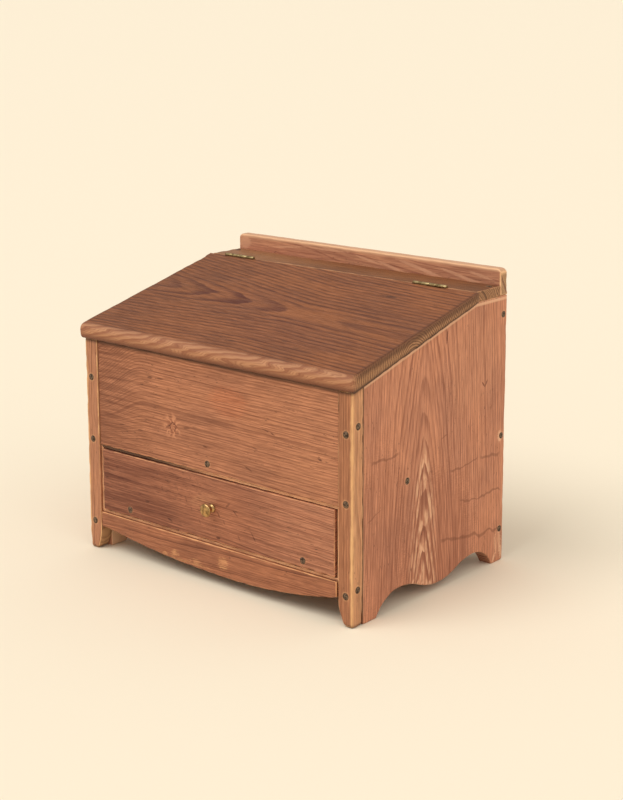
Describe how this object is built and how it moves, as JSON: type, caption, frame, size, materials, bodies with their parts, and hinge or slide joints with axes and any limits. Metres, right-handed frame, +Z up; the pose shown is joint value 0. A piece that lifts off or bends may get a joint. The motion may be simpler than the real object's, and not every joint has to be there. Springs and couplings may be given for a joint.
{
  "type": "bible box",
  "caption": "Slope-lidded wooden box on sawn feet, with a hinged lid over a book well, a drawer below and a low back rail.",
  "frame": {"origin": "on the floor, under the middle of the box's overall length and depth, knob and nail heads included", "axes": "+Z up, -Y out of the front, +X to the right of someone facing the drawer"},
  "size_m": [0.45, 0.3194, 0.38],
  "materials": {
    "lid_pine": "waxed red-brown stain, worn pale on the edges",
    "side_pine": "waxed red-brown stain, worn pale on the edges",
    "post_pine": "waxed red-brown stain, worn pale on the edges",
    "panel_pine": "waxed red-brown stain, worn pale on the edges",
    "drawer_pine": "waxed red-brown stain, worn pale on the edges",
    "apron_pine": "waxed red-brown stain, worn pale on the edges",
    "bead_pine": "waxed red-brown stain, worn pale on the edges",
    "rail_pine": "waxed red-brown stain, worn pale on the edges",
    "inner_pine": "bare aged pine",
    "hinge_brass": "dull aged brass",
    "knob_brass": "handled bright brass",
    "screw_brass": "dull aged brass",
    "wrought_iron": "dark oxidised iron"
  },
  "bodies": {
    "case": {"apron": "apron_pine", "back_board": "inner_pine", "back_board_nails": "wrought_iron", "back_rail": "rail_pine", "bead_bottom": "bead_pine", "bead_left": "bead_pine", "bead_right": "bead_pine", "bead_top": "bead_pine", "drawer_runner_left": "inner_pine", "drawer_runner_right": "inner_pine", "floor_nails": "wrought_iron", "front_panel": "panel_pine", "hinge_case_screws": "screw_brass", "hinge_left_case_leaf": "hinge_brass", "hinge_left_pin": "hinge_brass", "hinge_right_case_leaf": "hinge_brass", "hinge_right_pin": "hinge_brass", "post_front_nails": "wrought_iron", "post_left": "post_pine", "post_right": "post_pine", "post_side_nails": "wrought_iron", "rail_nails": "wrought_iron", "runner_nails": "wrought_iron", "side_board_left": "side_pine", "side_board_right": "side_pine", "top_board": "rail_pine", "top_board_nails": "wrought_iron", "well_floor": "inner_pine"},
    "lid": {"hinge_left_lid_leaf": "hinge_brass", "hinge_lid_screws": "screw_brass", "hinge_right_lid_leaf": "hinge_brass", "lid_board": "lid_pine"},
    "drawer": {"drawer_back": "inner_pine", "drawer_bottom": "inner_pine", "drawer_front": "drawer_pine", "drawer_front_nails": "wrought_iron", "drawer_knob": "knob_brass", "drawer_side_left": "inner_pine", "drawer_side_nails": "wrought_iron", "drawer_side_right": "inner_pine", "knob_nut": "wrought_iron"}
  },
  "joints": [
    {"name": "lid_hinge", "type": "hinge", "parent": "case", "child": "lid", "pos_m": [0, 0.09225, 0.3596], "axis": [-1, 0, 0], "range_deg": [0, 172]},
    {"name": "drawer_slide", "type": "slide", "parent": "case", "child": "drawer", "axis": [0, -1, 0], "range_m": [0, 0.2]}
  ]
}
